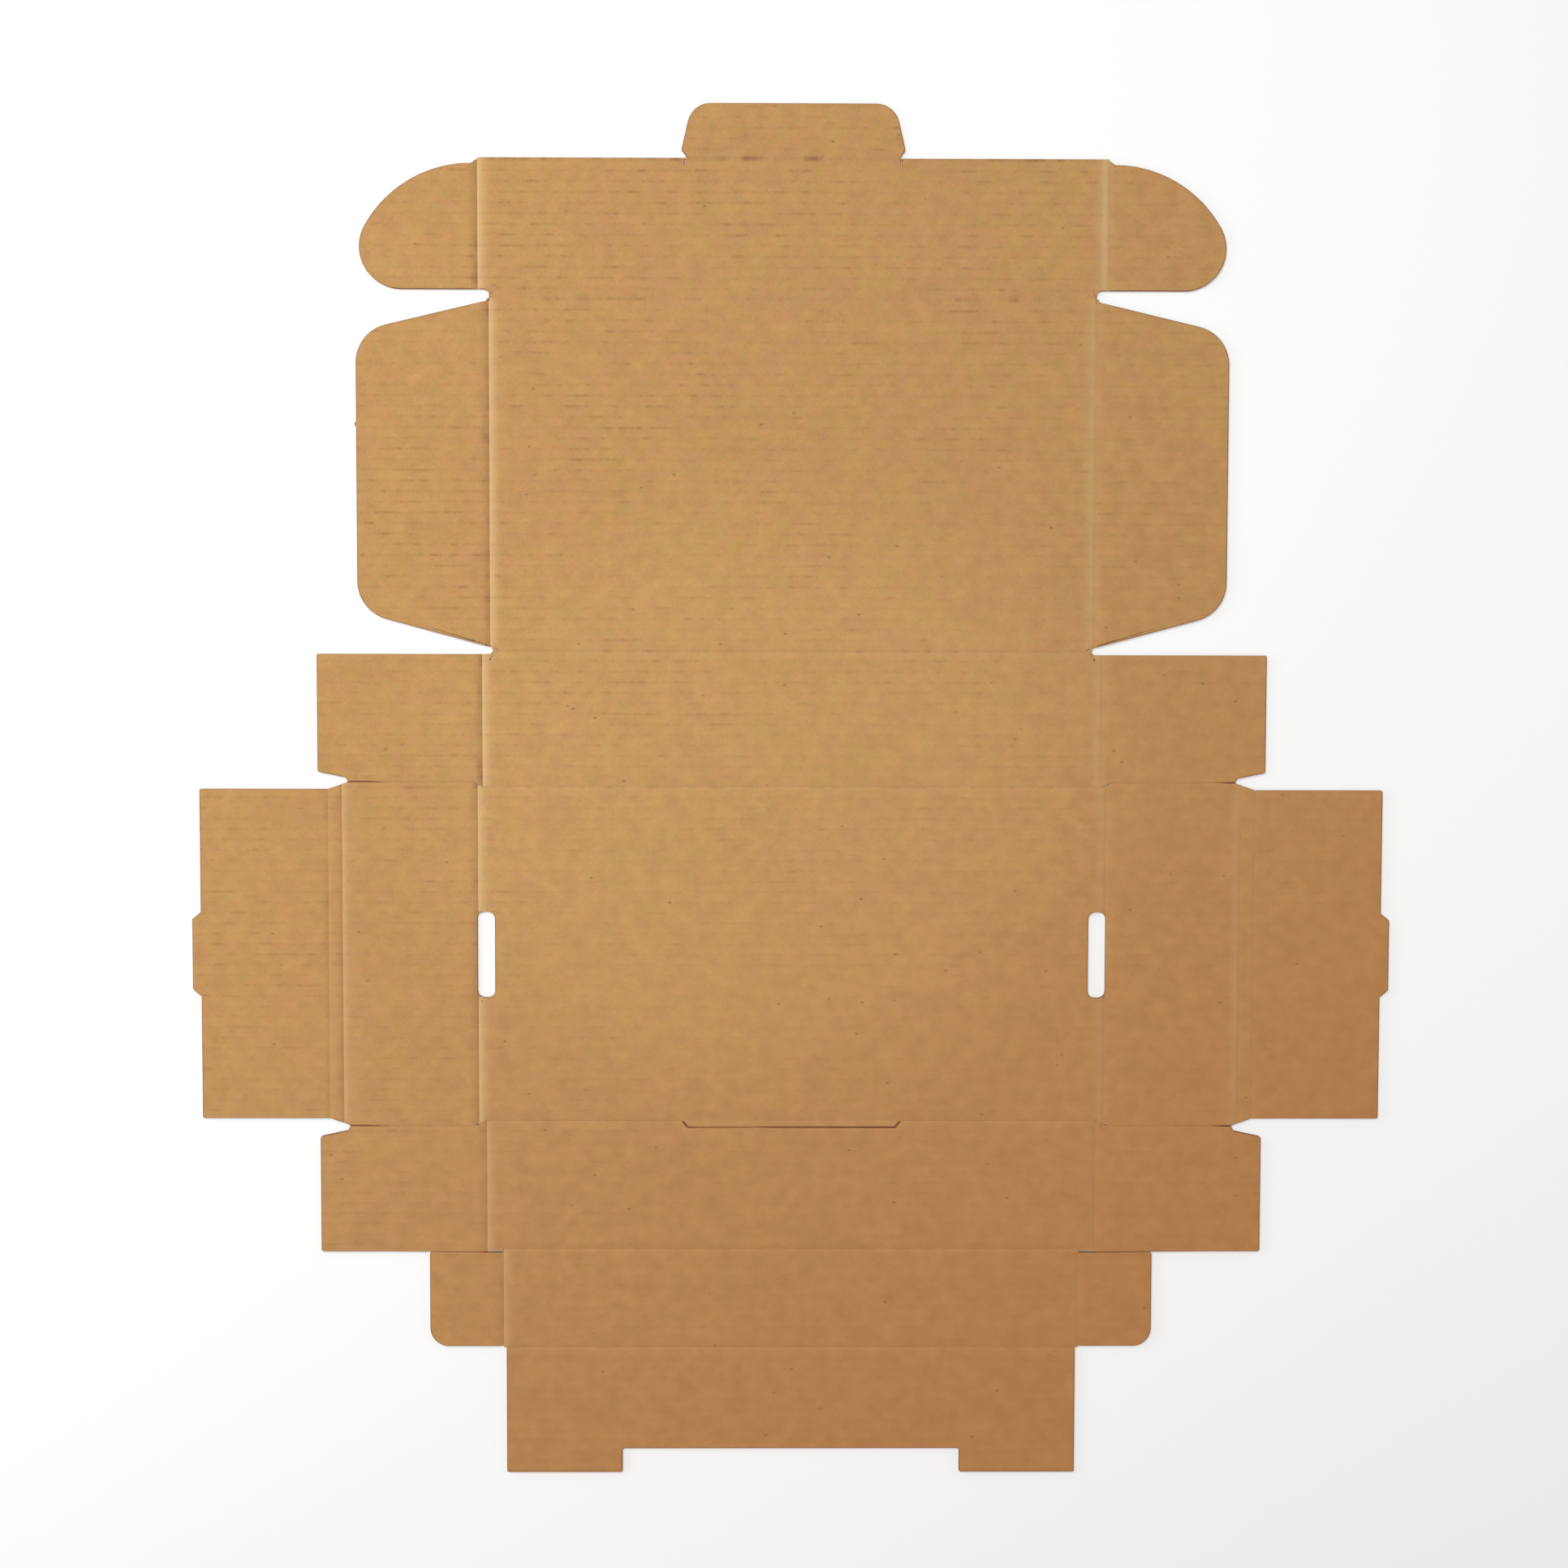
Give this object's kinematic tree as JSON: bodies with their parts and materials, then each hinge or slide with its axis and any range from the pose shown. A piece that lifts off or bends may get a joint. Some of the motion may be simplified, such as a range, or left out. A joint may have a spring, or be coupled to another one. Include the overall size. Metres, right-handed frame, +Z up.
{
  "type": "corrugated mailer box",
  "caption": "Flat die-cut mailer box blank in brown corrugated board, with hinged walls, roll-over sides, corner flaps, shelf and a tuck lid with ears and lock tab.",
  "frame": {"origin": "middle of the flat sheet's outline box, on its underside", "axes": "+Z up out of the inside face, +Y from the feet towards the lid's lock tab, +X to the right-hand side wall"},
  "size_m": [0.3876, 0.4426, 0.0015],
  "materials": {
    "kraft_board": "matte"
  },
  "bodies": {
    "base_panel": {"base_panel": "kraft_board"},
    "back_wall": {"back_wall": "kraft_board"},
    "lid_panel": {"lid_panel": "kraft_board"},
    "lid_front_flap": {"lid_front_flap": "kraft_board"},
    "lock_tab": {"lock_tab": "kraft_board"},
    "left_ear": {"left_ear": "kraft_board"},
    "right_ear": {"right_ear": "kraft_board"},
    "left_lid_flap": {"left_lid_flap": "kraft_board"},
    "right_lid_flap": {"right_lid_flap": "kraft_board"},
    "left_back_flap": {"left_back_flap": "kraft_board"},
    "right_back_flap": {"right_back_flap": "kraft_board"},
    "left_side_wall": {"left_side_wall": "kraft_board"},
    "right_side_wall": {"right_side_wall": "kraft_board"},
    "left_roll_strip": {"left_roll_strip": "kraft_board"},
    "right_roll_strip": {"right_roll_strip": "kraft_board"},
    "left_inner_wall": {"left_inner_wall": "kraft_board"},
    "right_inner_wall": {"right_inner_wall": "kraft_board"},
    "front_wall": {"front_wall": "kraft_board"},
    "left_front_flap": {"left_front_flap": "kraft_board"},
    "right_front_flap": {"right_front_flap": "kraft_board"},
    "front_shelf": {"front_shelf": "kraft_board"},
    "left_shelf_wing": {"left_shelf_wing": "kraft_board"},
    "right_shelf_wing": {"right_shelf_wing": "kraft_board"},
    "shelf_leg": {"shelf_leg": "kraft_board"}
  },
  "joints": [
    {"name": "back_wall_fold", "type": "hinge", "parent": "base_panel", "child": "back_wall", "pos_m": [0, 0.00358, 0.00075], "axis": [1, 0, 0], "range_deg": [0, 90]},
    {"name": "front_wall_fold", "type": "hinge", "parent": "base_panel", "child": "front_wall", "pos_m": [0, -0.10518, 0.00075], "axis": [-1, 0, 0], "range_deg": [0, 90]},
    {"name": "lid_fold", "type": "hinge", "parent": "back_wall", "child": "lid_panel", "pos_m": [0, 0.04707, 0.00075], "axis": [-1, 0, 0], "range_deg": [-90, 0]},
    {"name": "lid_front_fold", "type": "hinge", "parent": "lid_panel", "child": "lid_front_flap", "pos_m": [0, 0.15982, 0.00075], "axis": [-1, 0, 0], "range_deg": [-90, 0]},
    {"name": "lock_tab_fold", "type": "hinge", "parent": "lid_front_flap", "child": "lock_tab", "pos_m": [0, 0.20408, 0.00075], "axis": [-1, 0, 0], "range_deg": [-90, 0]},
    {"name": "shelf_fold", "type": "hinge", "parent": "front_wall", "child": "front_shelf", "pos_m": [0, -0.14743, 0.00075], "axis": [-1, 0, 0], "range_deg": [0, 90]},
    {"name": "leg_fold", "type": "hinge", "parent": "front_shelf", "child": "shelf_leg", "pos_m": [0, -0.17993, 0.00075], "axis": [-1, 0, 0], "range_deg": [0, 90]},
    {"name": "right_side_wall_fold", "type": "hinge", "parent": "base_panel", "child": "right_side_wall", "pos_m": [0.1015, -0.0508, 0.00075], "axis": [0, -1, 0], "range_deg": [0, 90]},
    {"name": "right_roll_fold", "type": "hinge", "parent": "right_side_wall", "child": "right_roll_strip", "pos_m": [0.1453, -0.0508, 0.00075], "axis": [0, -1, 0], "range_deg": [0, 90]},
    {"name": "right_inner_wall_fold", "type": "hinge", "parent": "right_roll_strip", "child": "right_inner_wall", "pos_m": [0.1498, -0.0508, 0.00075], "axis": [0, -1, 0], "range_deg": [0, 90]},
    {"name": "right_back_flap_fold", "type": "hinge", "parent": "back_wall", "child": "right_back_flap", "pos_m": [0.0999, 0.02533, 0.00075], "axis": [0, -1, 0], "range_deg": [0, 90]},
    {"name": "right_front_flap_fold", "type": "hinge", "parent": "front_wall", "child": "right_front_flap", "pos_m": [0.099, -0.1263, 0.00075], "axis": [0, -1, 0], "range_deg": [0, 90]},
    {"name": "right_wing_fold", "type": "hinge", "parent": "front_shelf", "child": "right_shelf_wing", "pos_m": [0.09375, -0.16367, 0.00075], "axis": [0, -1, 0], "range_deg": [0, 90]},
    {"name": "right_lid_flap_fold", "type": "hinge", "parent": "lid_panel", "child": "right_lid_flap", "pos_m": [0.09725, 0.10345, 0.00075], "axis": [0, 1, 0], "range_deg": [-90, 0]},
    {"name": "right_ear_fold", "type": "hinge", "parent": "lid_front_flap", "child": "right_ear", "pos_m": [0.10075, 0.18195, 0.00075], "axis": [0, 1, 0], "range_deg": [-90, 0]},
    {"name": "left_side_wall_fold", "type": "hinge", "parent": "base_panel", "child": "left_side_wall", "pos_m": [-0.1015, -0.0508, 0.00075], "axis": [0, 1, 0], "range_deg": [0, 90]},
    {"name": "left_roll_fold", "type": "hinge", "parent": "left_side_wall", "child": "left_roll_strip", "pos_m": [-0.1453, -0.0508, 0.00075], "axis": [0, 1, 0], "range_deg": [0, 90]},
    {"name": "left_inner_wall_fold", "type": "hinge", "parent": "left_roll_strip", "child": "left_inner_wall", "pos_m": [-0.1498, -0.0508, 0.00075], "axis": [0, 1, 0], "range_deg": [0, 90]},
    {"name": "left_back_flap_fold", "type": "hinge", "parent": "back_wall", "child": "left_back_flap", "pos_m": [-0.0999, 0.02533, 0.00075], "axis": [0, 1, 0], "range_deg": [0, 90]},
    {"name": "left_front_flap_fold", "type": "hinge", "parent": "front_wall", "child": "left_front_flap", "pos_m": [-0.099, -0.1263, 0.00075], "axis": [0, 1, 0], "range_deg": [0, 90]},
    {"name": "left_wing_fold", "type": "hinge", "parent": "front_shelf", "child": "left_shelf_wing", "pos_m": [-0.09375, -0.16367, 0.00075], "axis": [0, 1, 0], "range_deg": [0, 90]},
    {"name": "left_lid_flap_fold", "type": "hinge", "parent": "lid_panel", "child": "left_lid_flap", "pos_m": [-0.09725, 0.10345, 0.00075], "axis": [0, -1, 0], "range_deg": [-90, 0]},
    {"name": "left_ear_fold", "type": "hinge", "parent": "lid_front_flap", "child": "left_ear", "pos_m": [-0.10075, 0.18195, 0.00075], "axis": [0, -1, 0], "range_deg": [-90, 0]}
  ]
}
